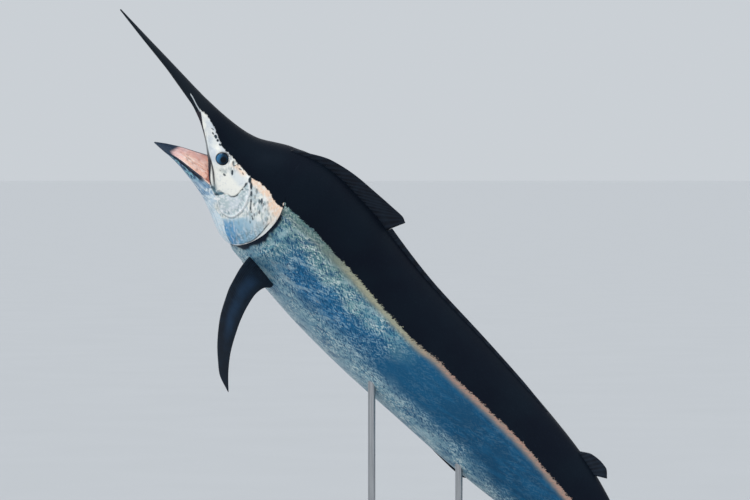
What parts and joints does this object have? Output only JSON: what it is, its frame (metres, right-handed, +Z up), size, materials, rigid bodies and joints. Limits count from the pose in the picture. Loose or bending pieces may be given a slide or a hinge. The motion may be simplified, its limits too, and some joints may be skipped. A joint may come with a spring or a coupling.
{
  "type": "blue marlin model",
  "caption": "Life-size blue marlin display model, leaping with its mouth open, back and flanks bent in a gentle curve, on a flat base with two rods",
  "frame": {"origin": "middle of the underside of the display base, on the floor", "axes": "+Z up; -X the way the head points; -Y the side the fish's left flank faces; metres"},
  "size_m": [3.1877, 1.5625, 3.6762],
  "materials": {
    "bill_skin": "wet-looking painted skin",
    "head_skin": "wet-looking painted skin",
    "jaw_skin": "wet-looking painted skin",
    "eye_left_glass": "dark polished glass",
    "eye_right_glass": "dark polished glass",
    "torso_front_skin": "wet-looking painted skin",
    "torso_middle_skin": "wet-looking painted skin",
    "tail_stock_skin": "wet-looking painted skin",
    "tail_lobe_upper_skin": "wet-looking painted skin",
    "tail_lobe_lower_skin": "wet-looking painted skin",
    "dorsal_fin_first_skin": "wet-looking painted skin",
    "dorsal_fin_rear_skin": "wet-looking painted skin",
    "dorsal_fin_second_skin": "wet-looking painted skin",
    "anal_fin_first_skin": "wet-looking painted skin",
    "anal_fin_second_skin": "wet-looking painted skin",
    "pectoral_fin_left_skin": "wet-looking painted skin",
    "pectoral_fin_right_skin": "wet-looking painted skin",
    "pelvic_fin_left_skin": "wet-looking painted skin",
    "pelvic_fin_right_skin": "wet-looking painted skin",
    "stand_base_paint": "satin dark paint",
    "stand_rod_front_steel": "brushed",
    "stand_rod_rear_steel": "brushed"
  },
  "bodies": {
    "root": {"bill": "bill_skin", "head": "head_skin", "lower_jaw": "jaw_skin", "eye_left": "eye_left_glass", "eye_right": "eye_right_glass", "torso_front": "torso_front_skin", "torso_middle": "torso_middle_skin", "tail_stock": "tail_stock_skin", "tail_lobe_upper": "tail_lobe_upper_skin", "tail_lobe_lower": "tail_lobe_lower_skin", "dorsal_fin_first": "dorsal_fin_first_skin", "dorsal_fin_rear": "dorsal_fin_rear_skin", "dorsal_fin_second": "dorsal_fin_second_skin", "anal_fin_first": "anal_fin_first_skin", "anal_fin_second": "anal_fin_second_skin", "pectoral_fin_left": "pectoral_fin_left_skin", "pectoral_fin_right": "pectoral_fin_right_skin", "pelvic_fin_left": "pelvic_fin_left_skin", "pelvic_fin_right": "pelvic_fin_right_skin", "stand_base": "stand_base_paint", "stand_rod_front": "stand_rod_front_steel", "stand_rod_rear": "stand_rod_rear_steel"}
  },
  "joints": []
}
